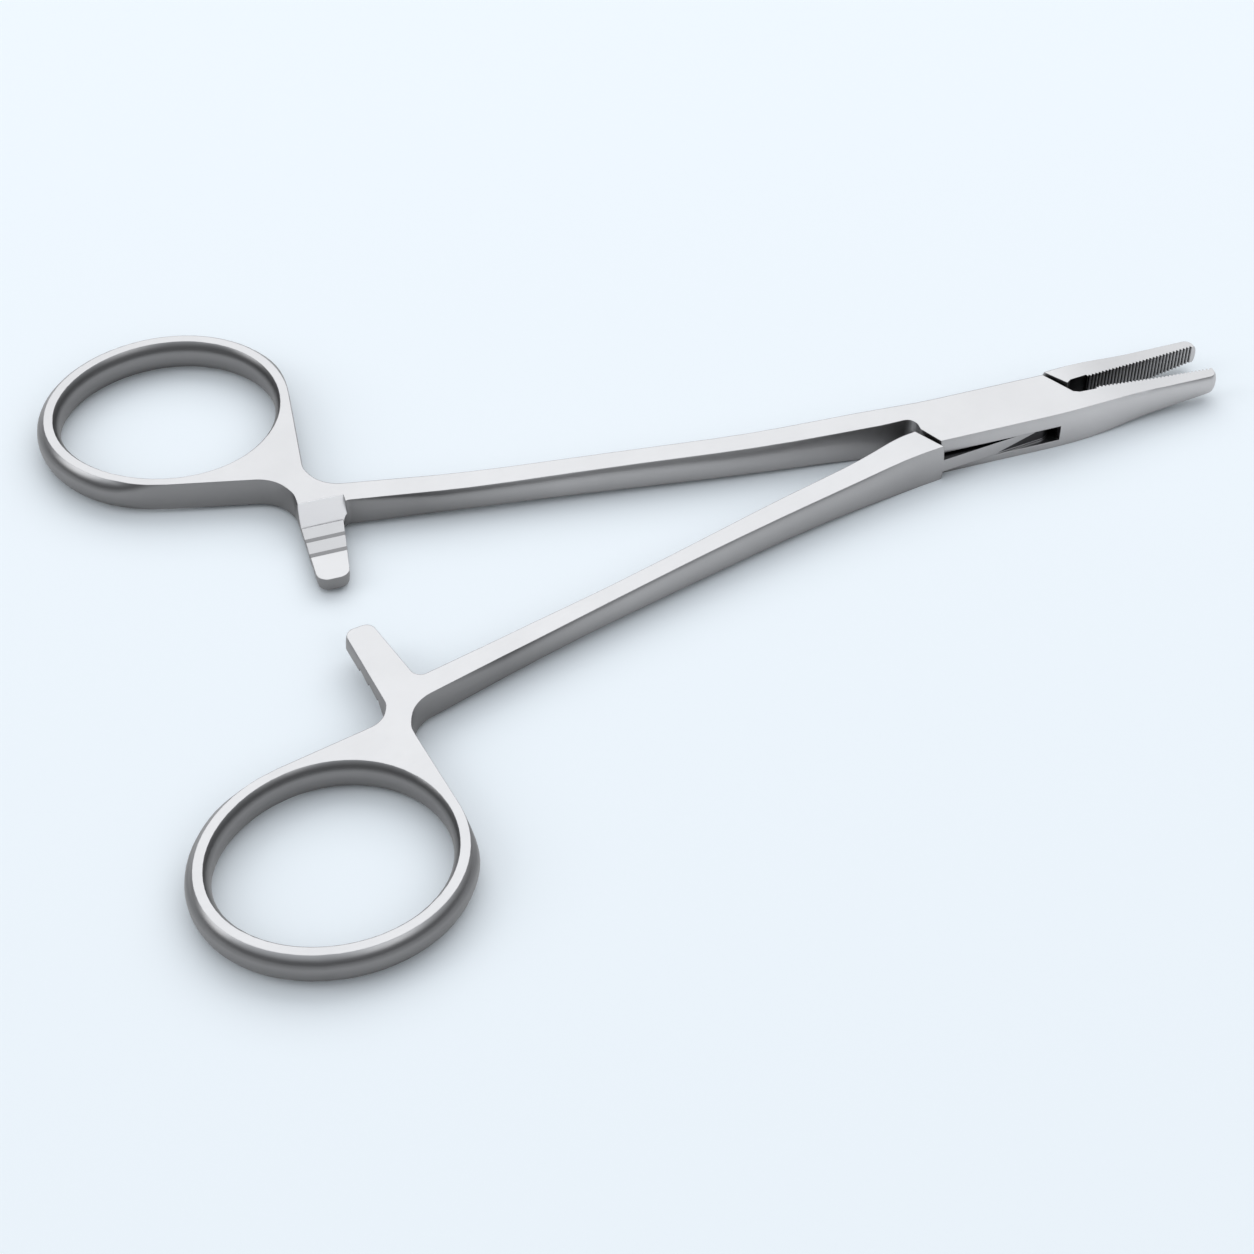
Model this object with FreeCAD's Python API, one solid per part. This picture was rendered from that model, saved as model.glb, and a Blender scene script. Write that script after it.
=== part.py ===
import FreeCAD, Part
import math
import os

# Surgical needle holder with a box lock, in millimetres.
# The origin is on the pivot axis at the underside of the box. +X runs along the closed centre
# line to the jaw tips, +Y is the side of the slotted half's shank, and +Z is up.
# Both halves are drawn closed, with their shank on the +Y side. The tongue half is then
# mirrored in Y and turned open about the pivot.

V = FreeCAD.Vector
Z_AXIS = V(0, 0, 1)

# Working values
open_angle = 8.5            # how far the jaws stand open as modelled, in degrees
mid_z = 2.5                 # height of the middle plane, about which both halves are thick

# Thickness along the instrument, from the finger ring to the jaw tip
ring_thick = 3.7
waist_thick = 3.15          # thinnest place of the shank, just in front of the ratchet
shank_thick = 3.6
shank_end_thick = 4.45
box_thick = 2 * mid_z
jaw_mid_thick = 3.7
jaw_tip_thick = 2.1
ring_end_x = -78.0
waist_x = -63.0
shank_x = -40.0
shank_end_x = -18.0
box_start_x = -11.0
box_end_x = 9.0
jaw_mid_x = 18.5

# Finger rings: the clear opening at the top face and the flat land round it
hole_long = 25.9
hole_wide = 23.25
ring_egg = 0.15             # how much fuller the ring is to one side than a true oval
ring_land = 1.0
ring_swell = 0.95           # how far the outside swells past the land at mid height
hole_swell = 0.7            # how far the inside swells into the opening at mid height

# Side walls: how far they swell past the top edge at mid height
shank_swell = 0.4
arm_swell = 0.2
box_swell = 0.2
jaw_swell = 0.3
crotch_swell = 0.05
web_swell = 0.15            # where the ring runs into the web
lower_swell = 0.3           # share of the swell that is left at the lower edge
wall_roundness = 0.75       # share of a full ellipse that a side wall follows
# Levels at which the walls are drawn, as shares of half the local thickness
wall_shares = (-1.04, -0.87, -0.65, -0.35, 0.0, 0.35, 0.65, 0.87, 1.04)
wall_spare = 0.75           # the walls are drawn on this far past the faces that trim them

# Box lock
plate_top = 1.7             # upper wall of the slotted box
slot_height = 2.15
slot_half_length = 6.7
tongue_lift = 0.05          # running gap under the tongue
tongue_thick = 1.8
pin_radius = 1.6
pin_clearance = 0.03
box_far_y = 3.6
box_near_y = -3.2
box_corner_x = 7.28         # front corner of the box on the shank side
box_front_x = 9.5           # front corner of the box on the centre line
box_back_x = -9.5           # back corner of the box beside the crotch
box_back_y = -0.6
box_near_x = -8.05          # back corner of the box on the near side
crotch_y = 1.33
crotch_radius = 1.3
slot_back_wall_y = 0.95     # the slot stops here against the root of the shank
slot_front_wall_y = -0.45   # and here against the root of the jaw

# Tongue half: its shoulders are lines at a distance and direction from the pivot
back_shoulder = 9.06
back_shoulder_dir = 204.4
front_shoulder = 8.5
front_shoulder_dir = 28.0
tongue_shank_y = 3.3        # edge of the tongue on its shank's side
tongue_lead_y = 2.9
tongue_jaw_y = -3.1         # edge of the tongue on its jaw's side
tongue_root_x = 6.4         # the ends of the tongue slant from here
tongue_edge_x = 5.6         # to here
tongue_heel_y = -0.75
tongue_lead_x = -8.0
tongue_jaw_x = 4.0
tongue_inner = (-11.0, -0.7)
tongue_root_radius = 0.9
tongue_edge_radius = 2.0

# Jaws
jaw_length = 27.2           # from the pivot to the tip
jaw_spare = 2.0             # the jaw's thickness is drawn on this far past its tip
jaw_gap = 0.03              # each jaw face stands this far from the centre line
serration_start = 12.4
serration_pitch = 0.47
serration_depth = 0.24
serration_land = 0.1
relief_depth = 0.35         # smooth hollow between the box and the serrations
relief_start = 10.2
relief_slant = 0.1

# Ratchet
arm_corner = 1.1
arm_margin = 1.2            # how far the milling runs past the free side of the arm
arm_root_margin = 0.6       # and past its other side, short of the shank
tooth_pitch = 2.35
tooth_count = 3
tooth_height = 0.5
tooth_flank = 0.15          # lean of the steep side
tooth_gap = 0.1             # each crest stands this far from the middle plane
first_crest_y = 7.9         # crest nearest the shank
ramp_top_y = 9.9            # where the milled run-out leaves the face
end_land_drop = 0.15

# The rest of the outline
box_lead_x = -6.0           # the box side runs straight to here
crotch_lead_x = -12.5
ring_steps = 16
web_steps = 2               # the ring's swell fades over these last steps
bend_steps = 4
touch_steps = 30            # halvings in the search for the place where a line touches a ring
beyond = 12.0               # how far a cutter runs past what it cuts
past = 1.0                  # the same, where there is little room

# What differs between the halves, seen at the top face with the shank on the +Y side. Corners
# are (x, y, radius), the ring is (x, y, tilt), and the jaw's places are shares of its length.
slotted = {
    "ring": (-89.6, 29.7, -7.2),
    "shank_outer": [(-16.0, 4.3), (-28.0, 5.3), (-39.5, 6.7), (-50.8, 8.2), (-63.1, 9.9)],
    "notch": (-77.7, 12.3, 4.3),
    "neck": (-79.15, 14.3, 4.7),
    "arm_tip": (-79.4, -76.2, -0.45),
    "arm_fillet": (-74.65, 9.0, 1.2),
    "shank_inner": [(-63.8, 7.4), (-52.0, 5.9), (-40.0, 4.35), (-28.0, 2.8), (-15.0, 1.5)],
    "jaw_outer": [(0.146, -3.2), (0.31, -3.12), (0.514, -2.55), (0.738, -1.85)],
    "jaw_tip": (-1.35, 0.9),
}
tongue = {
    "ring": (-92.5, 26.1, -2.3),
    "shank_outer": [(-16.0, 3.05), (-28.0, 4.05), (-41.0, 5.6), (-54.0, 7.4), (-66.0, 9.3)],
    "notch": (-79.0, 11.6, 4.5),
    "neck": (-79.9, 12.3, 3.0),
    "arm_tip": (-79.9, -76.8, -1.2),
    "arm_fillet": (-75.6, 8.3, 1.2),
    "shank_inner": [(-65.8, 6.9), (-53.2, 5.25), (-40.1, 3.4), (-26.4, 1.35), (-16.0, 0.0)],
    "jaw_outer": [(0.291, -2.8), (0.514, -2.35), (0.738, -1.75)],
    "jaw_tip": (-1.25, 0.9),
}


def spline(points, start=None, finish=None):
    curve = Part.BSplineCurve()
    ends = {}
    if start:
        ends = {"InitialTangent": start, "FinalTangent": finish}
    curve.interpolate(Points=points, Parameters=[p.x for p in points], **ends)
    return curve


flat = V(1, 0, 0)
shank_profile = spline(
    [
        V(ring_end_x, 0, ring_thick / 2),
        V(waist_x, 0, waist_thick / 2),
        V(shank_x, 0, shank_thick / 2),
        V(shank_end_x, 0, shank_end_thick / 2),
        V(box_start_x, 0, box_thick / 2),
    ],
    flat,
    flat,
)
jaw_end_x = jaw_length + jaw_spare
jaw_profile = spline(
    [
        V(box_end_x, 0, box_thick / 2),
        V(jaw_mid_x, 0, jaw_mid_thick / 2),
        V(jaw_end_x, 0, jaw_tip_thick / 2),
    ],
    flat,
    V(1, 0, -(jaw_mid_thick - jaw_tip_thick) / 2 / (jaw_end_x - jaw_mid_x)),
)


def half_thick(x):
    """Half the thickness at a place along the instrument."""
    if x <= ring_end_x:
        return ring_thick / 2
    if x < box_start_x:
        return shank_profile.value(x).z
    if x <= box_end_x:
        return box_thick / 2
    return jaw_profile.value(min(x, jaw_end_x)).z


def inset(share, swell):
    """How far a side wall lies inside its widest place, at a share of half the thickness."""
    draw = swell if share > 0 else swell * (1 - lower_swell)
    edge = 1 - math.sqrt(1 - wall_roundness)
    return draw * (1 - math.sqrt(1 - wall_roundness * share * share)) / edge


def shift(place, share, level):
    """A point of the outline: the top edge, moved out by the swell that is left there."""
    x, y, nx, ny, swell = place
    out = swell - math.copysign(inset(share, abs(swell)), swell)
    height = share * half_thick(x) if level is None else level
    return V(x + nx * out, y + ny * out, mid_z + height)


def side(p, q):
    length = math.hypot(q[0] - p[0], q[1] - p[1])
    return (q[1] - p[1]) / length, -(q[0] - p[0]) / length


def along(points, swells, before, after):
    """Places on a gently bent line, whose ends run on straight to the points before and after."""
    places = []
    last = len(points) - 1
    for i, (x, y) in enumerate(points):
        start = before if i == 0 else points[i - 1]
        finish = after if i == last else points[i + 1]
        if i == 0:
            nx, ny = side(start, (x, y))
        elif i == last:
            nx, ny = side((x, y), finish)
        else:
            nx, ny = side(start, finish)
        places.append((x, y, nx, ny, swells[i]))
    return places


def corner(before, vertex, after, radius, swell):
    """Places round a corner of the outline, with a fillet of the given radius."""
    ax, ay = before[0] - vertex[0], before[1] - vertex[1]
    bx, by = after[0] - vertex[0], after[1] - vertex[1]
    la, lb = math.hypot(ax, ay), math.hypot(bx, by)
    ax, ay, bx, by = ax / la, ay / la, bx / lb, by / lb
    half = math.acos(max(-1.0, min(1.0, ax * bx + ay * by))) / 2
    reach = radius / math.tan(half)
    mx, my = ax + bx, ay + by
    lm = math.hypot(mx, my)
    cx = vertex[0] + mx / lm * radius / math.sin(half)
    cy = vertex[1] + my / lm * radius / math.sin(half)
    start = math.atan2(vertex[1] + ay * reach - cy, vertex[0] + ax * reach - cx)
    turn = math.atan2(vertex[1] + by * reach - cy, vertex[0] + bx * reach - cx) - start
    turn = (turn + math.pi) % (2 * math.pi) - math.pi
    outward = 1 if turn > 0 else -1
    places = []
    for i in range(bend_steps + 1):
        angle = start + turn * i / bend_steps
        c, s = math.cos(angle), math.sin(angle)
        places.append((cx + radius * c, cy + radius * s, outward * c, outward * s, swell))
    return places


def on_ring(ring, margin, angle, swell):
    """The place on a tilted, slightly egg-shaped ring, at a margin outside the opening."""
    x0, y0, tilt = ring
    t = math.radians(tilt)
    c, s = math.cos(angle), math.sin(angle)
    long, wide = hole_long / 2 + margin, hole_wide / 2 + margin
    reach = 1 - ring_egg / long * math.cos(3 * angle)
    growth = 3 * ring_egg / long * math.sin(3 * angle)
    px, py = long * reach * c, wide * reach * s
    nx, ny = wide * (growth * s + reach * c), -long * (growth * c - reach * s)
    ln = math.hypot(nx, ny)
    return (
        x0 + px * math.cos(t) - py * math.sin(t),
        y0 + px * math.sin(t) + py * math.cos(t),
        (nx * math.cos(t) - ny * math.sin(t)) / ln,
        (nx * math.sin(t) + ny * math.cos(t)) / ln,
        swell,
    )


def arc(ring, margin, start, finish, swell):
    """Places round a ring, counter-clockwise from one angle to another."""
    step = (finish - start) / ring_steps
    return [on_ring(ring, margin, start + step * i, swell) for i in range(ring_steps + 1)]


def fade(rim):
    """The places of a rim, with less swell towards its ends."""
    places = []
    for i, (x, y, nx, ny, swell) in enumerate(rim):
        share = min(1.0, min(i, ring_steps - i) / web_steps)
        places.append((x, y, nx, ny, swell - (swell - web_swell) * (1 + math.cos(math.pi * share)) / 2))
    return places


def touch(ring, point, way):
    """The angle at which a line from the point touches the ring, to one side of the point."""
    near = math.atan2(point[1] - ring[1], point[0] - ring[0]) - math.radians(ring[2])
    far = near + way * math.pi / 2
    for _ in range(touch_steps):
        angle = (near + far) / 2
        x, y, nx, ny, _ = on_ring(ring, ring_land, angle, 0.0)
        if nx * (point[0] - x) + ny * (point[1] - y) > 0:
            near = angle
        else:
            far = angle
    return near


def edge_at(places, share, level):
    """The edge through a stretch of places at one level, which leaves each end along the outline."""
    points = [shift(p, share, level) for p in places]
    if len(places) == 2:
        return Part.makeLine(*points)
    params = [0.0]
    for p, q in zip(places, places[1:]):
        params.append(params[-1] + math.hypot(q[0] - p[0], q[1] - p[1]))
    first, last = places[0], places[-1]
    curve = Part.BSplineCurve()
    curve.interpolate(
        Points=points, Parameters=params,
        InitialTangent=V(-first[3], first[2], 0), FinalTangent=V(-last[3], last[2], 0),
    )
    return curve.toShape()


def join(parts):
    """The stretches of a closed outline: curves and corners, with straight lines between them."""
    stretches = []
    for part, after in zip(parts, parts[1:] + parts[:1]):
        if len(part) > 1:
            stretches.append(part)
        if part[-1] != after[0]:
            stretches.append([part[-1], after[0]])
    return stretches


def walls(stretches):
    """The solid inside an outline, its side walls rounded from level to level."""
    wall_end = mid_z + wall_spare
    rows = [(wall_shares[0], -wall_end)]
    rows += [(share, None) for share in wall_shares]
    rows += [(wall_shares[-1], wall_end)]
    wires = [Part.Wire([edge_at(places, *row) for places in stretches]) for row in rows]
    return Part.makeLoft(wires, True, True)


def side_view():
    """The solid that gives the half its thickness all along."""
    start_x = slotted["ring"][0] - hole_long
    top = mid_z + ring_thick / 2
    edges = [
        Part.makeLine(V(start_x, 0, top), V(ring_end_x, 0, top)),
        shank_profile.toShape().translated(V(0, 0, mid_z)),
        Part.makeLine(V(box_start_x, 0, box_thick), V(box_end_x, 0, box_thick)),
        jaw_profile.toShape().translated(V(0, 0, mid_z)),
    ]
    under = [e.mirror(V(0, 0, mid_z), Z_AXIS) for e in edges]
    ends = [
        Part.makeLine(V(start_x, 0, top), V(start_x, 0, 2 * mid_z - top)),
        Part.makeLine(
            V(jaw_end_x, 0, mid_z + jaw_tip_thick / 2), V(jaw_end_x, 0, mid_z - jaw_tip_thick / 2)
        ),
    ]
    wire = Part.Wire(Part.__sortEdges__(edges + under + ends))
    wide = 2 * hole_long
    return Part.Face(wire).translated(V(0, -wide, 0)).extrude(V(0, 2 * wide, 0))


def ring_hole(ring):
    """The finger opening, narrowest at mid height."""
    rim = arc(ring, 0.0, 0.0, 2 * math.pi, -hole_swell)
    quarter = ring_steps // 4
    return walls([rim[i:i + quarter + 1] for i in range(0, ring_steps, quarter)])


def handle_parts(half, lead, inner_end, turn):
    """Shank, finger ring and ratchet arm, from the box round and back to it."""
    outer = half["shank_outer"]
    inner = half["shank_inner"]
    notch, notch_radius = half["notch"][:2], half["notch"][2]
    neck, neck_radius = half["neck"][:2], half["neck"][2]
    fillet, fillet_radius = half["arm_fillet"][:2], half["arm_fillet"][2]
    left_x, right_x, tip_y = half["arm_tip"]
    left, right = (left_x, tip_y), (right_x, tip_y)
    start, finish = touch(half["ring"], notch, 1), touch(half["ring"], neck, -1)
    rim = fade(arc(half["ring"], ring_land, start, finish + 2 * math.pi, ring_swell))
    outer_swells = [box_swell] + [shank_swell] * len(outer)
    inner_swells = [shank_swell] * (len(inner) - 1) + [box_swell, box_swell]
    return [
        along([lead[1]] + outer, outer_swells, lead[0], notch),
        corner(outer[-1], notch, rim[0][:2], notch_radius, web_swell),
        rim[:ring_steps // 2 + 1],
        rim[ring_steps // 2:],
        corner(rim[-1][:2], neck, left, neck_radius, web_swell),
        corner(neck, left, right, arm_corner, arm_swell),
        corner(left, right, fillet, arm_corner, arm_swell),
        corner(right, fillet, inner[0], fillet_radius, arm_swell),
        along(inner + [inner_end], inner_swells, fillet, turn),
    ]


def jaw_parts(half, before):
    """Outer side of the jaw, its rounded tip and its straight inner face."""
    outer = [(share * jaw_length, y) for share, y in half["jaw_outer"]]
    tip_y, tip_radius = half["jaw_tip"]
    vertex = (jaw_length, tip_y)
    inner = (jaw_length, -jaw_gap)
    return [
        along(outer, [jaw_swell] * len(outer), before, vertex),
        corner(outer[-1], vertex, inner, tip_radius, jaw_swell),
        [(*inner, 1.0, 0.0, jaw_swell)],
        [(box_front_x, -jaw_gap, 0.0, 1.0, 0.0)],
    ]


def blank(half, parts):
    """A whole half before its slot, teeth and bores are cut."""
    return walls(join(parts)).common(side_view()).cut(ring_hole(half["ring"]))


def slotted_blank():
    box_corner = (box_corner_x, box_far_y)
    turn = (box_back_x, crotch_y)
    back = (box_back_x, box_back_y)
    near = (box_near_x, box_near_y)
    crotch_lead = (crotch_lead_x, crotch_y)
    parts = [[(*box_corner, 0.0, 1.0, box_swell)]]
    parts += handle_parts(slotted, (box_corner, (box_lead_x, box_far_y)), crotch_lead, turn)
    parts += [corner(crotch_lead, turn, back, crotch_radius, crotch_swell)]
    parts += [[(*back, -1.0, 0.0, 0.0)], [(*near, 0.0, -1.0, jaw_swell)]]
    parts += jaw_parts(slotted, near)
    return blank(slotted, parts)


def tongue_blank():
    heel = (box_front_x, -jaw_gap)
    front_root = (tongue_root_x, -jaw_gap)
    front_edge = (tongue_edge_x, tongue_shank_y)
    lead = (tongue_lead_x, tongue_lead_y)
    back_root = (-tongue_root_x, tongue_heel_y)
    back_edge = (-tongue_edge_x, tongue_jaw_y)
    jaw_lead = (tongue_jaw_x, tongue_jaw_y)
    parts = [
        corner(heel, front_root, front_edge, tongue_root_radius, crotch_swell),
        corner(front_root, front_edge, lead, tongue_edge_radius, box_swell),
    ]
    parts += handle_parts(tongue, (front_edge, lead), tongue_inner, back_root)
    parts += [
        corner(tongue_inner, back_root, back_edge, tongue_root_radius, crotch_swell),
        corner(back_root, back_edge, jaw_lead, tongue_edge_radius, box_swell),
    ]
    parts += jaw_parts(tongue, back_edge)
    return blank(tongue, parts)


def block(low, high):
    """A box between two corners."""
    return Part.makeBox(high[0] - low[0], high[1] - low[1], high[2] - low[2], V(*low))


def prism(points, direction):
    """A flat outline pushed along a direction."""
    return Part.Face(Part.makePolygon(points + [points[0]])).extrude(direction)


slot_floor = box_thick - plate_top - slot_height
slot_roof = box_thick - plate_top
tongue_floor = slot_floor + tongue_lift
tongue_roof = tongue_floor + tongue_thick


def slot_cutter():
    """The passage through the box, with its walls against the shank and the jaw."""
    middle = block((-slot_half_length, -beyond, slot_floor), (slot_half_length, beyond, slot_roof))
    back = block((-beyond, -beyond, slot_floor), (-slot_half_length, slot_back_wall_y, slot_roof))
    front = block((slot_half_length, slot_front_wall_y, slot_floor), (box_front_x, beyond, slot_roof))
    return middle.fuse([back, front])


def shoulder_cutter(low_z, high_z):
    """What is taken off the tongue half between its shoulders, over one range of heights."""
    corners = []
    lines = ((back_shoulder, back_shoulder_dir), (front_shoulder, front_shoulder_dir))
    for reach, heading in lines:
        c, s = math.cos(math.radians(heading)), -math.sin(math.radians(heading))
        corners.append([((reach - s * y) / c, y) for y in (-beyond, beyond)])
    (b0, b1), (f0, f1) = corners
    outline = [V(x, y, low_z) for x, y in (b0, f0, f1, b1)]
    return prism(outline, V(0, 0, high_z - low_z))


def ratchet_cutter(half, upper):
    """What the milling takes off the ratchet arm, down to its teeth."""
    face = mid_z + half_thick(ring_end_x)
    crest = mid_z - tooth_gap
    tip_y = half["arm_tip"][2]
    end_y = tip_y - beyond
    points = [(ramp_top_y, face + beyond), (ramp_top_y, face)]
    for i in range(tooth_count):
        y = first_crest_y - i * tooth_pitch
        points += [(y + tooth_flank, crest - tooth_height), (y, crest)]
    points += [(end_y, crest - end_land_drop), (end_y, face + beyond)]
    start_x = half["arm_tip"][0] - arm_margin
    outline = [V(start_x, y, z) for y, z in points]
    cutter = prism(outline, V(half["arm_fillet"][0] + arm_root_margin - start_x, 0, 0))
    return cutter if upper else cutter.mirror(V(0, 0, mid_z), Z_AXIS)


def jaw_cutter():
    """The smooth hollow behind the serrations and the row of V grooves."""
    face = -jaw_gap
    points = [
        (box_front_x, past),
        (box_front_x, face),
        (relief_start, face - relief_depth),
        (serration_start - relief_slant, face - relief_depth),
    ]
    count = int((jaw_length - serration_start) / serration_pitch)
    groove = serration_pitch - serration_land
    for i in range(count):
        x = serration_start + i * serration_pitch
        points += [(x, face), (x + groove / 2, face - serration_depth), (x + groove, face)]
    end_x = serration_start + count * serration_pitch
    points += [(end_x, face), (end_x, past)]
    return prism([V(x, y, -past) for x, y in points], V(0, 0, box_thick + 2 * past))


def bore(radius):
    return Part.makeCylinder(radius, box_thick + 2 * past, V(0, 0, -past))


def female_half():
    body = slotted_blank()
    for cutter in (slot_cutter(), ratchet_cutter(slotted, True), jaw_cutter(), bore(pin_radius)):
        body = body.cut(cutter)
    return body


def male_half():
    body = tongue_blank()
    cutters = (
        shoulder_cutter(tongue_roof, box_thick + past),
        shoulder_cutter(-past, tongue_floor),
        ratchet_cutter(tongue, False),
        jaw_cutter(),
        bore(pin_radius + pin_clearance),
    )
    for cutter in cutters:
        body = body.cut(cutter)
    body = body.mirror(V(0, 0, 0), V(0, 1, 0))
    body.rotate(V(0, 0, 0), Z_AXIS, open_angle)
    return body


def pivot_pin():
    return Part.makeCylinder(pin_radius, box_thick)


os.makedirs("parts", exist_ok=True)
nodes = {
    "female_half": female_half(),
    "male_half": male_half(),
    "pivot_pin": pivot_pin(),
}
for name, shape in nodes.items():
    box = shape.BoundBox
    print(
        name, "valid", shape.isValid(), "solids", len(shape.Solids),
        "volume", round(shape.Volume, 1),
        "x %.2f %.2f y %.2f %.2f z %.2f %.2f" % (
            box.XMin, box.XMax, box.YMin, box.YMax, box.ZMin, box.ZMax
        ),
    )
    shape.exportStep("parts/%s.step" % name)
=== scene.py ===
import bpy
import math
from mathutils import Matrix, Vector


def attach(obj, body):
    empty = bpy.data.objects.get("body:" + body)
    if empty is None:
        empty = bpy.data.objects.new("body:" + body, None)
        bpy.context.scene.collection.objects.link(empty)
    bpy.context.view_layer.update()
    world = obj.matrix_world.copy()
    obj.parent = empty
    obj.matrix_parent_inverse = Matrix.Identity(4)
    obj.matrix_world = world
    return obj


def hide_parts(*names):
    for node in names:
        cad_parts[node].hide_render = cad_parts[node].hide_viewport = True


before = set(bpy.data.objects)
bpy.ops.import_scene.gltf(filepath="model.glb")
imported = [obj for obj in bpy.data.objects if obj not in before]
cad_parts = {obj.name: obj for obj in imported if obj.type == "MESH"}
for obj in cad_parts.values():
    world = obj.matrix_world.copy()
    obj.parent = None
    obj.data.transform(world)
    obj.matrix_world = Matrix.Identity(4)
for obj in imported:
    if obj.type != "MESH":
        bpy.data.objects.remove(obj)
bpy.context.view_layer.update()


def newMaterial(name):
    material = bpy.data.materials.new(name)
    material.use_nodes = True
    material.node_tree.nodes.clear()
    return material, material.node_tree.nodes, material.node_tree.links


def addNode(nodes, kind, place, **settings):
    node = nodes.new(kind)
    node.location = place
    for name, value in settings.items():
        if name in node.inputs:
            node.inputs[name].default_value = value
        else:
            setattr(node, name, value)
    return node


def feed(links, socket, value):  # links a socket, or sets a plain value
    if isinstance(value, bpy.types.NodeSocket):
        links.new(value, socket)
    else:
        socket.default_value = value


def reckon(nodes, links, place, operation, *values):
    node = addNode(nodes, "ShaderNodeMath", place, operation=operation)
    for socket, value in zip(node.inputs, values):
        feed(links, socket, value)
    return node.outputs["Value"]


def spread(nodes, links, place, source, start, end, low=0.0, high=1.0):
    node = addNode(nodes, "ShaderNodeMapRange", place)
    names = ("Value", "From Min", "From Max", "To Min", "To Max")
    for name, value in zip(names, (source, start, end, low, high)):
        feed(links, node.inputs[name], value)
    return node.outputs["Result"]


def mixTint(nodes, links, place, factor, first, second, blend="MIX"):
    node = addNode(nodes, "ShaderNodeMix", place, data_type="RGBA", blend_type=blend)
    for name, value in (("Factor", factor), ("A", first), ("B", second)):
        feed(links, node.inputs[name], value)
    return node.outputs["Result"]


# Studio, in metres: a pale table under a bright sky that darkens towards the walls
studio = {
    "tableSize": 4.0,
    "tableTint": (0.832, 0.885, 0.922, 1),
    "paintedReflectionTint": (0.76, 0.765, 0.77, 1),
    "tableRough": 0.6,
    "tableShine": 0.2,
    "skyTint": (0.93, 0.96, 1.0, 1),
    "skyLevel": 0.89,
    "skyStart": 0.70,
    "wallTint": (0.26, 0.265, 0.275, 1),
    "wallTop": 0.22,
}


def buildTable():
    bpy.ops.object.select_all(action="DESELECT")
    bpy.ops.mesh.primitive_plane_add(size=studio["tableSize"], location=(0, 0, 0))
    table = bpy.context.object
    table.name = "table"
    material, nodes, links = newMaterial("pale table")
    rays = addNode(nodes, "ShaderNodeLightPath", (-500, 0))
    tint = mixTint(  # painted reflection: the steel mirrors a greyer table than the camera sees
        nodes, links, (-250, 0), rays.outputs["Is Glossy Ray"], studio["tableTint"], studio["paintedReflectionTint"],
    )
    skin = addNode(nodes, "ShaderNodeBsdfPrincipled", (0, 0), Roughness=studio["tableRough"])
    skin.inputs["Specular IOR Level"].default_value = studio["tableShine"]
    output = addNode(nodes, "ShaderNodeOutputMaterial", (300, 0))
    links.new(tint, skin.inputs["Base Color"])
    links.new(skin.outputs["BSDF"], output.inputs["Surface"])
    table.data.materials.append(material)
    print("table laid")


# Soft panels: a wide one behind and above, which the flat tops mirror, and two small ones
lamps = {
    "ceiling": {"place": (0.22, 0.46, 0.62), "aim": (0, 0, 0), "size": (1.25, 0.66), "watts": 2.9},
    "left": {"place": (-0.75, 0.1, 0.45), "aim": (-0.05, 0, 0), "size": (0.4, 0.5), "watts": 0.9},
    "front": {"place": (0.25, -0.7, 0.6), "aim": (-0.02, 0, 0), "size": (0.5, 0.35), "watts": 0.5},
}


def buildLamps():
    for name, lamp in lamps.items():
        bpy.ops.object.light_add(type="AREA", location=lamp["place"])
        light = bpy.context.object
        light.name = "softbox_" + name
        light.data.shape = "RECTANGLE"
        light.data.size, light.data.size_y = lamp["size"]
        light.data.energy = lamp["watts"]
        heading = Vector(lamp["aim"]) - Vector(lamp["place"])
        light.rotation_euler = heading.to_track_quat("-Z", "Y").to_euler()
    print("lamps hung")


def buildWorld():
    world = bpy.data.worlds.new("studio air")
    bpy.context.scene.world = world
    world.use_nodes = True
    nodes, links = world.node_tree.nodes, world.node_tree.links
    nodes.clear()
    where = addNode(nodes, "ShaderNodeTexCoord", (-900, 0))
    split = addNode(nodes, "ShaderNodeSeparateXYZ", (-700, 0))
    ramp = addNode(nodes, "ShaderNodeValToRGB", (-500, 0))
    wall, sky = ramp.color_ramp.elements
    wall.position, wall.color = studio["wallTop"], studio["wallTint"]
    sky.position, sky.color = studio["skyStart"], studio["skyTint"]
    air = addNode(nodes, "ShaderNodeBackground", (-150, 0), Strength=studio["skyLevel"])
    output = addNode(nodes, "ShaderNodeOutputWorld", (100, 0))
    links.new(where.outputs["Generated"], split.inputs["Vector"])
    links.new(split.outputs["Z"], ramp.inputs["Fac"])
    links.new(ramp.outputs["Color"], air.inputs["Color"])
    links.new(air.outputs["Background"], output.inputs["Surface"])
    print("world lit")


# Camera: its turn about the object, its height angle, and where its axis meets the box lock's top plane
camera = {
    "azimuth": -18.0,
    "elevation": 46.3,
    "distance": 0.313,
    "lens": 84.98,
    "aim": (-0.05062, -0.01981, 0.005),
    "clipStart": 0.01,
}


def buildCamera():
    turn = math.radians(camera["azimuth"])
    lift = math.radians(camera["elevation"])
    level = math.cos(lift)
    ahead = Vector((-math.sin(turn) * level, math.cos(turn) * level, -math.sin(lift)))
    across = Vector((math.cos(turn), math.sin(turn), 0))
    above = across.cross(ahead)
    bpy.ops.object.camera_add()
    eye = bpy.context.object
    eye.matrix_world = Matrix((across, above, -ahead)).transposed().to_4x4()
    eye.location = Vector(camera["aim"]) - camera["distance"] * ahead
    eye.data.lens = camera["lens"]
    eye.data.sensor_fit = "HORIZONTAL"
    eye.data.clip_start = camera["clipStart"]
    bpy.context.scene.camera = eye
    print("camera set")


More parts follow.
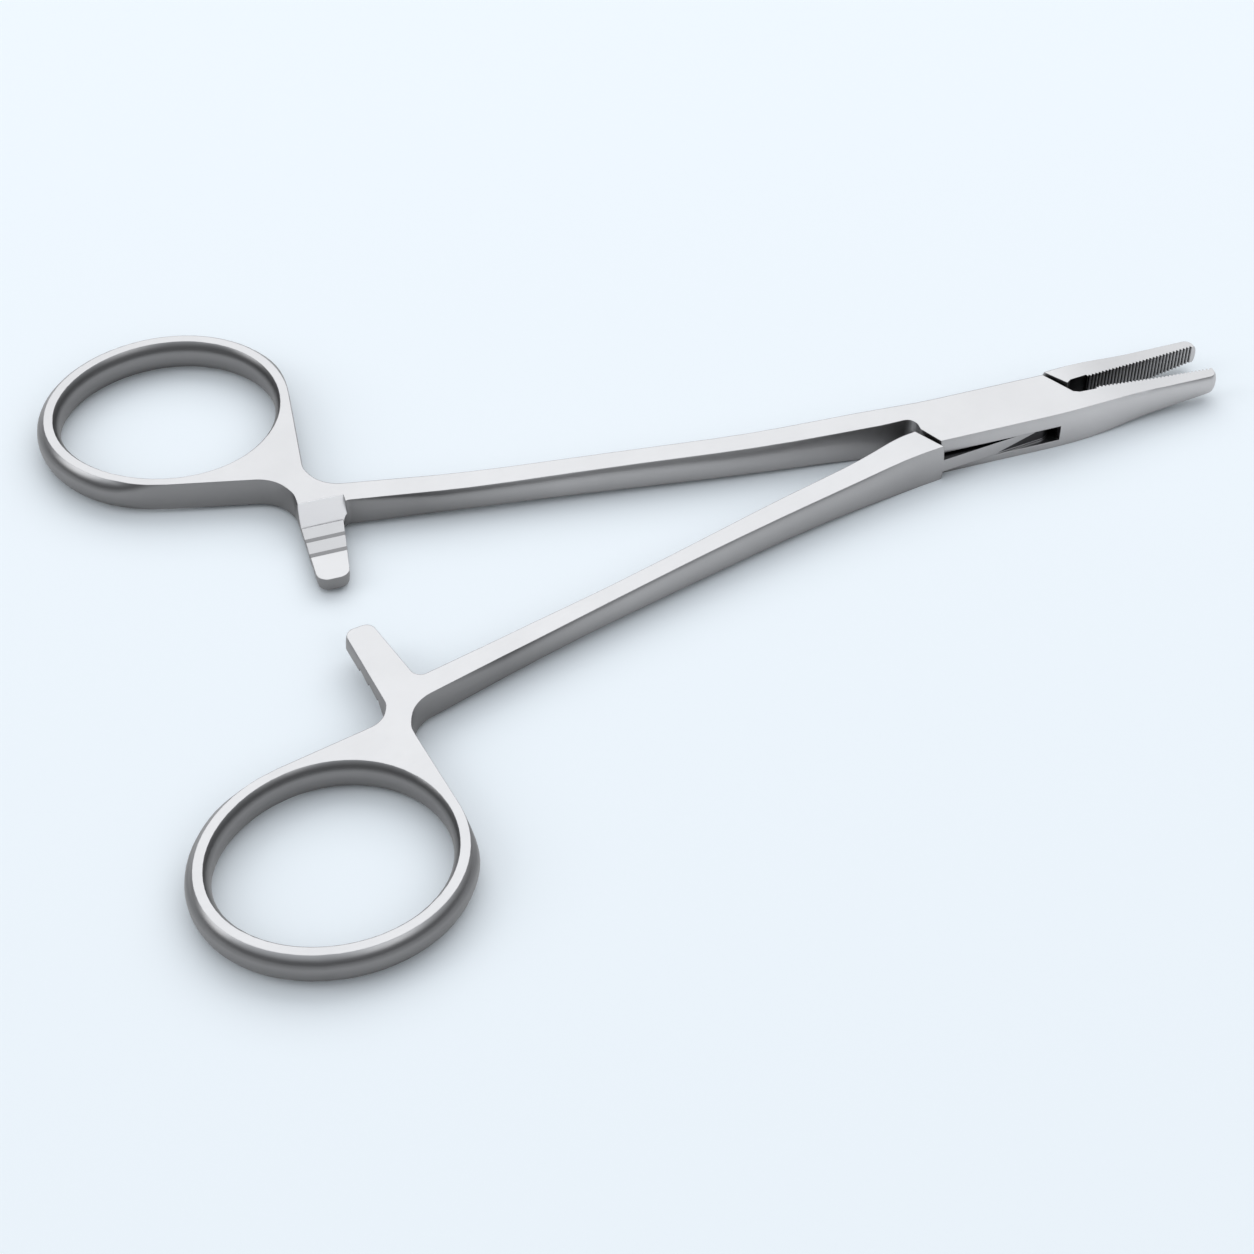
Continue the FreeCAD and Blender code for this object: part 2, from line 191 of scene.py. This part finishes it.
# The finger rings, in millimetres: each is an oval with a slight egg shape and rounded walls
ringForm = {
    "long": 12.95,  # half the hole's length and width at its top edge
    "wide": 11.625,
    "egg": 0.15,
    "lobes": 3,
    "land": 1.0,  # from the hole's top edge to the ring's
    "swell": 0.95,  # how far the outer wall stands out at mid height, and the hole's wall stands in
    "holeSwell": 0.7,
    "webSwell": 0.15,  # the outer wall's swell next to the web, and the share of the rim it fades over
    "fadeShare": 0.125,
    "lowerSwell": 0.3,  # share of the swell that is left at the lower edge
    "roundness": 0.75,
    "halfThick": 1.85,
    "middle": 2.5,
    "near": 0.4,  # points nearer than this to the wall are drawn onto it
    "reach": 16.5,
    "steps": 5,
}
perMetre = 1000  # millimetres in a metre

# How the copies of both halves are merged, in metres, and smoothed, in degrees
shell = {
    "weld": 0.000002,
    "creaseAngle": 26.0,
}

# Each half: where its ring lies when closed, the angles its rim runs between, and its turn at rest
halves = {
    "female_half": {
        "skin": "slotted_half_steel", "body": "slotted_half", "side": 1, "open": 0.0,
        "ring": (-89.6, 29.7), "tilt": -7.2, "rim": (0.7, 265.1),
    },
    "male_half": {
        "skin": "tongue_half_steel", "body": "tongue_half", "side": -1, "open": 8.5,
        "ring": (-92.5, 26.1), "tilt": -2.3, "rim": (1.1, 268.7),
    },
}


def flatTurn(degrees):
    return Matrix.Rotation(math.radians(degrees), 2)


def ringPoint(margin, angle):  # a point of the oval and the way out from it
    cosine, sine = math.cos(angle), math.sin(angle)
    long, wide = ringForm["long"] + margin, ringForm["wide"] + margin
    egg, lobes = ringForm["egg"] / long, ringForm["lobes"]
    reach = 1 - egg * math.cos(lobes * angle)
    growth = lobes * egg * math.sin(lobes * angle)
    out = Vector((wide * (growth * sine + reach * cosine), -long * (growth * cosine - reach * sine)))
    return Vector((long * reach * cosine, wide * reach * sine)), out.normalized()


def wallOut(share, swell):  # how far out the wall stands at this share of its half height
    draw = abs(swell) if share > 0 else abs(swell) * (1 - ringForm["lowerSwell"])
    edge = 1 - math.sqrt(1 - ringForm["roundness"])
    inset = draw * (1 - math.sqrt(1 - ringForm["roundness"] * min(1, share * share))) / edge
    return swell - math.copysign(inset, swell)


def rimSwell(half, angle):  # none where the ring runs into its web
    start, finish = (math.radians(a) for a in half["rim"])
    place = angle % (2 * math.pi)
    if not start < place < finish:
        return None
    nearer = min(place - start, finish - place) / (finish - start)
    share = min(1, nearer / ringForm["fadeShare"])
    drop = ringForm["swell"] - ringForm["webSwell"]
    return ringForm["swell"] - drop * (1 + math.cos(math.pi * share)) / 2


def settleOnRing(half, place):  # the nearest point of the ring's own walls, or the same place
    turn, tilt = flatTurn(-half["open"]), flatTurn(half["tilt"])
    flat = turn @ Vector((place.x, place.y)) * perMetre
    flat.y *= half["side"]
    spot = tilt.inverted() @ (flat - Vector(half["ring"]))
    if spot.length > ringForm["reach"]:
        return place
    share = (place.z * perMetre - ringForm["middle"]) / ringForm["halfThick"]
    for margin in (0, ringForm["land"]):
        angle = math.atan2(spot.y / (ringForm["wide"] + margin), spot.x / (ringForm["long"] + margin))
        for _ in range(ringForm["steps"]):
            point, out = ringPoint(margin, angle)
            angle += (spot - point).dot(Vector((-out.y, out.x))) / point.length
        swell = rimSwell(half, angle) if margin else -ringForm["holeSwell"]
        if swell is None:
            continue
        miss = (spot - point).dot(out) - wallOut(share, swell)
        if abs(miss) < ringForm["near"]:
            flat = tilt @ (spot - miss * out) + Vector(half["ring"])
            flat.y *= half["side"]
            flat = turn.inverted() @ flat / perMetre
            return Vector((flat.x, flat.y, place.z))
    return place


def dressHalves():
    for name, half in halves.items():
        skin = bpy.data.objects.new(half["skin"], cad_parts[name].data.copy())
        bpy.context.collection.objects.link(skin)
        bpy.ops.object.select_all(action="DESELECT")
        skin.select_set(True)
        bpy.context.view_layer.objects.active = skin
        bpy.ops.mesh.customdata_custom_splitnormals_clear()
        bpy.ops.object.mode_set(mode="EDIT")
        bpy.ops.mesh.select_all(action="SELECT")
        bpy.ops.mesh.remove_doubles(threshold=shell["weld"])
        bpy.ops.object.mode_set(mode="OBJECT")
        moved = 0
        for vertex in skin.data.vertices:
            place = settleOnRing(half, vertex.co)
            moved = max(moved, (place - vertex.co).length)
            vertex.co = place
        bpy.ops.object.shade_smooth_by_angle(angle=math.radians(shell["creaseAngle"]))
        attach(skin, half["body"])
        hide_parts(name)
        print("dressed", half["skin"], "and moved its ring by up to", round(moved * perMetre, 3), "mm")


# Satin brushing, shared by every steel surface: long fine scratches over a faint cloudy polish
brushing = {
    "grainLong": 900.0,
    "grainAcross": 9000.0,
    "grainDetail": 3.0,
    "grainRough": 0.6,
    "grainWeight": 0.6,
    "cloudScale": 160.0,
    "cloudDetail": 4.0,
}

# Painted shade in narrow gaps: how far each point looks about, and the openness that is dark and that is
# clear
paintedCreviceShade = {
    "samples": 8,
    "distance": 0.0025,
    "open": (0.10, 0.46),
}

# Places with painted shade and painted light on the closed instrument, in metres, as (middle, reach) of
# each range: painted shade in the serration grooves, the slot, on the tongue's side and at the ratchet
# teeth, and painted light on the ratchet ramp.
# Side is the distance from the centre line, level that from the middle plane, slope 1 on a flat top
midPlane = ringForm["middle"] / perMetre
zones = {
    "serrated": {"along": (0.0190, 0.0094), "side": (0, 0.00046), "slope": (0, 0.5)},
    "slot": {"along": (0, 0.0096), "level": (0, 0.00115), "slope": (1, 0.5)},
    "ramp": {"along": (-0.0765, 0.0055), "side": (0.0090, 0.00095), "slope": (0.62, 0.16)},
    "tongue": {"along": (0, 0.0096), "level": (0, 0.00112), "slope": (0, 0.5)},
    "teeth": {"along": (-0.0765, 0.0055), "level": (0.0005, 0.00007), "slope": (0.97, 0.035)},
}

# How the painted shade darkens those places: the grooves by depth, a painted shadow on the tongue's side
# below a rising line, the teeth in part
shadows = {
    "groove": (0.00003, 0.0002),
    "tongueAlong": (-0.00118, 0.00603),
    "tongueHeight": (0.00145, 0.00340),
    "tooth": 0.6,
}

# Painted light and shade on the side walls: (start, end, tone at start, tone at end), along the instrument
# or by slope; painted shade on the ring walls, painted light on the jaw sides, and a painted dark
# reflection band on the ring walls
walls = {
    "rings": (-0.066, -0.050, 0.62, 1.0),
    "jaws": (-0.012, 0.010, 1.0, 1.38),
    "steep": (0.35, 0.80, 1.0, 0.0),
    "bandRise": (0.22, 0.50, 0.0, 1.0),
    "bandFall": (0.60, 0.80, 1.0, 0.0),
    "bandRings": (-0.066, -0.055, 1.0, 0.0),
    "bandDepth": -0.40,
}


def markZone(nodes, links, row, spots, zone):
    tests = [
        reckon(nodes, links, (-900 + 180 * column, row), "COMPARE", spots[name], middle, reach)
        for column, (name, (middle, reach)) in enumerate(zones[zone].items())
    ]
    mask = tests[0]
    for column, test in enumerate(tests[1:]):
        mask = reckon(nodes, links, (-640 + 180 * column, row - 150), "MULTIPLY", mask, test)
    return mask


def shareOf(nodes, links, place, source, start, end):  # 0 at the start, 1 at the end, and on past both
    return reckon(nodes, links, place, "MULTIPLY_ADD", source, 1 / (end - start), -start / (end - start))


def paintedShadePlaces(nodes, links, spots, onTongue):
    serrated = markZone(nodes, links, 1000, spots, "serrated")
    depth = spread(nodes, links, (-350, 850), spots["side"], *shadows["groove"])
    groove = reckon(nodes, links, (-150, 950), "MULTIPLY", serrated, depth)
    slot = markZone(nodes, links, 1300, spots, "slot")
    tongue = markZone(nodes, links, 3600, spots, "tongue")
    across = shareOf(nodes, links, (-300, 3600), spots["along"], *shadows["tongueAlong"])
    up = shareOf(nodes, links, (-300, 3800), spots["height"], *shadows["tongueHeight"])
    below = reckon(nodes, links, (-100, 3700), "GREATER_THAN", across, up)
    tongue = reckon(nodes, links, (100, 3600), "MULTIPLY", tongue, below)
    tongue = reckon(nodes, links, (250, 3600), "MULTIPLY", tongue, onTongue)
    tooth = markZone(nodes, links, 4200, spots, "teeth")
    tooth = reckon(nodes, links, (-100, 4200), "MULTIPLY", tooth, shadows["tooth"])
    dark = reckon(nodes, links, (0, 1200), "MAXIMUM", slot, tongue)
    dark = reckon(nodes, links, (150, 1200), "MAXIMUM", dark, tooth)
    return reckon(nodes, links, (300, 1000), "MAXIMUM", groove, dark)


def paintedWallLightAndShade(nodes, links, spots):
    rings, jaws, near = (
        spread(nodes, links, (-900, row), spots["along"], *walls[name])
        for name, row in (("rings", 2000), ("jaws", 2250), ("bandRings", 3250))
    )
    steep, rise, fall = (
        spread(nodes, links, (-900, row), spots["slope"], *walls[name])
        for name, row in (("steep", 2500), ("bandRise", 2750), ("bandFall", 3000))
    )
    both = reckon(nodes, links, (-700, 2100), "MULTIPLY", rings, jaws)
    extra = reckon(nodes, links, (-500, 2100), "SUBTRACT", both, 1.0)
    tone = reckon(nodes, links, (-300, 2300), "MULTIPLY_ADD", steep, extra, 1.0)
    # painted dark reflection band on the ring walls
    band = reckon(nodes, links, (-700, 2900), "MULTIPLY", rise, fall)
    band = reckon(nodes, links, (-500, 2900), "MULTIPLY", band, near)
    band = reckon(nodes, links, (-300, 2900), "MULTIPLY_ADD", band, walls["bandDepth"], 1.0)
    return reckon(nodes, links, (-100, 2600), "MULTIPLY", tone, band)


# The steel's values, with its painted shade and painted light tints: the group's inputs, which a finish
# below may change
satin = {
    "Light Tint": (0.49, 0.49, 0.495, 1),
    "Dark Tint": (0.435, 0.435, 0.44, 1),
    "Painted Shade Tint": (0.05, 0.05, 0.052, 1),
    "Ramp Painted Light": (0.86, 0.86, 0.87, 1),
    "Smoothest": 0.26,
    "Roughest": 0.38,
    "Brush Turn": (0, 0, 0),
    "Tongue": 0.0,
}


def socketKind(value):  # four numbers are a colour, three a turn
    if not isinstance(value, tuple):
        return "NodeSocketFloat"
    return "NodeSocketColor" if len(value) == 4 else "NodeSocketVector"


def openGroup():
    group = bpy.data.node_groups.new("brushed steel with painted light and shade", "ShaderNodeTree")
    for name, value in satin.items():
        made = group.interface.new_socket(name=name, in_out="INPUT", socket_type=socketKind(value))
        made.default_value = value
    for name, kind in (("Color", "Color"), ("Roughness", "Float"), ("Height", "Float")):
        group.interface.new_socket(name=name, in_out="OUTPUT", socket_type="NodeSocket" + kind)
    return group


def readSpots(nodes, links, closed, normal):  # where a point lies when closed, and how steep its face is
    spot = addNode(nodes, "ShaderNodeSeparateXYZ", (-1500, 500))
    links.new(closed, spot.inputs["Vector"])
    facing = addNode(nodes, "ShaderNodeSeparateXYZ", (-1500, 700))
    links.new(normal, facing.inputs["Vector"])
    rise = reckon(nodes, links, (-1300, 200), "SUBTRACT", spot.outputs["Z"], midPlane)
    return {
        "along": spot.outputs["X"],
        "side": reckon(nodes, links, (-1150, 400), "ABSOLUTE", spot.outputs["Y"]),
        "height": spot.outputs["Z"],
        "level": reckon(nodes, links, (-1150, 200), "ABSOLUTE", rise),
        "slope": reckon(nodes, links, (-1150, 700), "ABSOLUTE", facing.outputs["Z"]),
    }


def brushGrain(nodes, links, closed, place):  # long scratches and a cloudy polish
    stretch = addNode(nodes, "ShaderNodeMapping", (-700, -300))
    stretch.inputs["Scale"].default_value = (
        brushing["grainLong"], brushing["grainAcross"], brushing["grainAcross"],
    )
    grain = addNode(
        nodes, "ShaderNodeTexNoise", (-500, -250),
        Scale=1.0, Detail=brushing["grainDetail"], Roughness=brushing["grainRough"],
    )
    cloud = addNode(
        nodes, "ShaderNodeTexNoise", (-500, -550),
        Scale=brushing["cloudScale"], Detail=brushing["cloudDetail"],
    )
    links.new(closed, stretch.inputs["Vector"])
    links.new(stretch.outputs["Vector"], grain.inputs["Vector"])
    links.new(place, cloud.inputs["Vector"])
    return grain.outputs["Fac"], cloud.outputs["Fac"]


def lookAround(nodes, links):  # painted shade: 0 deep in a narrow gap, 1 in the open
    around = addNode(
        nodes, "ShaderNodeAmbientOcclusion", (-500, 350),
        samples=paintedCreviceShade["samples"], Distance=paintedCreviceShade["distance"],
    )
    return spread(nodes, links, (-200, 350), around.outputs["AO"], *paintedCreviceShade["open"])


def buildBrushedGroup():
    group = openGroup()
    nodes, links = group.nodes, group.links
    given = addNode(nodes, "NodeGroupInput", (-1900, 0)).outputs
    place = addNode(nodes, "ShaderNodeTexCoord", (-1900, -300)).outputs
    turned = addNode(nodes, "ShaderNodeMapping", (-1700, -300))
    links.new(place["Object"], turned.inputs["Vector"])
    links.new(given["Brush Turn"], turned.inputs["Rotation"])
    closed = turned.outputs["Vector"]
    spots = readSpots(nodes, links, closed, place["Normal"])
    grain, cloud = brushGrain(nodes, links, closed, place["Object"])
    tint = mixTint(nodes, links, (-200, 100), cloud, given["Light Tint"], given["Dark Tint"])
    gloss = spread(nodes, links, (-200, -200), grain, 0.0, 1.0, given["Smoothest"], given["Roughest"])
    height = reckon(nodes, links, (-200, -450), "MULTIPLY_ADD", grain, brushing["grainWeight"], cloud)

    # painted shade in crevices, painted light and shade on the side walls, painted light on the ratchet
    # ramp, and then painted shade in the grooves, slot, tongue's side and teeth
    tint = mixTint(nodes, links, (0, 350), lookAround(nodes, links), given["Painted Shade Tint"], tint)
    tint = mixTint(nodes, links, (150, 600), 1.0, tint, paintedWallLightAndShade(nodes, links, spots), "MULTIPLY")
    # painted light on the ratchet ramp
    ramp = markZone(nodes, links, 1600, spots, "ramp")
    tint = mixTint(nodes, links, (300, 500), ramp, tint, given["Ramp Painted Light"])
    dark = paintedShadePlaces(nodes, links, spots, given["Tongue"])
    tint = mixTint(nodes, links, (450, 350), dark, tint, given["Painted Shade Tint"])

    output = addNode(nodes, "NodeGroupOutput", (650, 0))
    for name, source in (("Color", tint), ("Roughness", gloss), ("Height", height)):
        links.new(source, output.inputs[name])
    print("brushed steel with painted light and shade group made")
    return group


# Softened edges, in metres: finer on the serrated jaws, and none round the pin, which is ground flush
edging = {
    "samples": 8,
    "radius": 0.00011,
    "jawRadius": 0.00003,
    "jawStart": (0.0095, 0.0105),
    "pinReach": 0.0022,
}


def softenEdges(nodes, links):
    where = addNode(nodes, "ShaderNodeTexCoord", (-1250, -350))
    along = addNode(nodes, "ShaderNodeSeparateXYZ", (-1050, -350))
    links.new(where.outputs["Object"], along.inputs["Vector"])
    sizes = (*edging["jawStart"], edging["radius"], edging["jawRadius"])
    width = spread(nodes, links, (-850, -350), along.outputs["X"], *sizes)
    beside = [
        reckon(nodes, links, (-850, row), "COMPARE", along.outputs[axis], 0.0, edging["pinReach"])
        for axis, row in (("X", -650), ("Y", -850))
    ]
    onPin = reckon(nodes, links, (-650, -750), "MULTIPLY", *beside)
    offPin = reckon(nodes, links, (-500, -750), "SUBTRACT", 1.0, onPin)
    edges = addNode(nodes, "ShaderNodeBevel", (-450, -350), samples=edging["samples"])
    links.new(reckon(nodes, links, (-350, -750), "MULTIPLY", width, offPin), edges.inputs["Radius"])
    return edges.outputs["Normal"]


# One finish for each piece: its turn back to closed, whether the painted shadow on its tongue's side is on,
# and if its edges are soft
finishes = {
    "slotted_half_steel": {"turn": 0.0, "tongue": 0.0, "edged": True},
    "tongue_half_steel": {"turn": -8.5, "tongue": 1.0, "edged": True},
    "pivot_pin": {"turn": 0.0, "tongue": 0.0, "edged": False},
}

# The scratches' own relief
scratch = {
    "strength": 0.05,
    "distance": 0.00005,
}


def finishSteel(group):
    for name, finish in finishes.items():
        material, nodes, links = newMaterial("satin steel with painted light and shade " + name)
        brushed = addNode(nodes, "ShaderNodeGroup", (-500, 0), node_tree=group)
        values = {**satin, "Brush Turn": (0, 0, math.radians(finish["turn"])), "Tongue": finish["tongue"]}
        for socket, value in values.items():
            brushed.inputs[socket].default_value = value
        relief = addNode(
            nodes, "ShaderNodeBump", (-250, -250),
            Strength=scratch["strength"], Distance=scratch["distance"],
        )
        if finish["edged"]:
            links.new(softenEdges(nodes, links), relief.inputs["Normal"])
        steel = addNode(nodes, "ShaderNodeBsdfPrincipled", (0, 0), Metallic=1.0)
        output = addNode(nodes, "ShaderNodeOutputMaterial", (300, 0))
        links.new(brushed.outputs["Color"], steel.inputs["Base Color"])
        links.new(brushed.outputs["Roughness"], steel.inputs["Roughness"])
        links.new(brushed.outputs["Height"], relief.inputs["Height"])
        links.new(relief.outputs["Normal"], steel.inputs["Normal"])
        links.new(steel.outputs["BSDF"], output.inputs["Surface"])
        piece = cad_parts.get(name) or bpy.data.objects[name]
        piece.data.materials.clear()
        piece.data.materials.append(material)
        print("finished", name)


buildTable()
buildLamps()
buildWorld()
buildCamera()
dressHalves()
finishSteel(buildBrushedGroup())
bpy.context.scene.view_settings.view_transform = "Standard"
